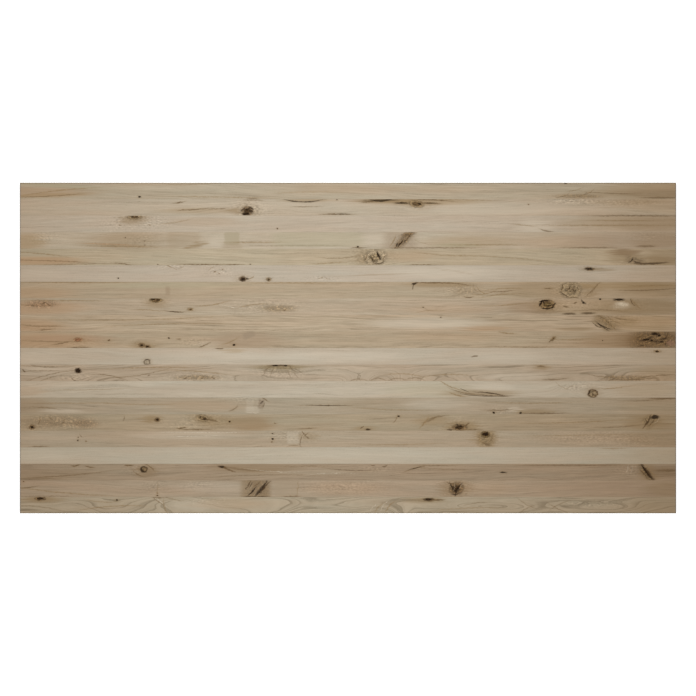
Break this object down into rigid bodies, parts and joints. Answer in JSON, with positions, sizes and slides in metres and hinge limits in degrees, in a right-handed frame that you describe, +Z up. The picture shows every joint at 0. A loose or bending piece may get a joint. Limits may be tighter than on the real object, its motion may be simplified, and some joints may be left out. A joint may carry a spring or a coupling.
{
  "type": "glued laminated wood panel",
  "caption": "Flat rectangular board of full-length rustic oak lamellae glued edge to edge, with broken arrises, open knots and drying checks in its upper face.",
  "frame": {"origin": "middle of the underside, on the plane that the panel lies on", "axes": "+X along the grain, +Y across the lamellae towards lamella_01, +Z up through the thickness"},
  "size_m": [2.4, 1.21, 0.026],
  "materials": {
    "pale_oak": "palest staves of rustic oak, sanded and left raw, matt",
    "honey_oak": "middle-toned staves of rustic oak, sanded and left raw, matt",
    "tan_oak": "tan staves of rustic oak, sanded and left raw, matt",
    "brown_oak": "darkest staves of rustic oak, sanded and left raw, matt"
  },
  "bodies": {
    "root": {"lamella_01": "honey_oak", "lamella_02": "pale_oak", "lamella_03": "pale_oak", "lamella_04": "honey_oak", "lamella_05": "honey_oak", "lamella_06": "pale_oak", "lamella_07": "honey_oak", "lamella_08": "honey_oak", "lamella_09": "honey_oak", "lamella_10": "tan_oak", "lamella_11": "pale_oak", "lamella_12": "tan_oak", "lamella_13": "pale_oak", "lamella_14": "tan_oak", "lamella_15": "tan_oak", "lamella_16": "tan_oak", "lamella_17": "pale_oak", "lamella_18": "brown_oak", "lamella_19": "tan_oak", "lamella_20": "tan_oak"}
  },
  "joints": []
}
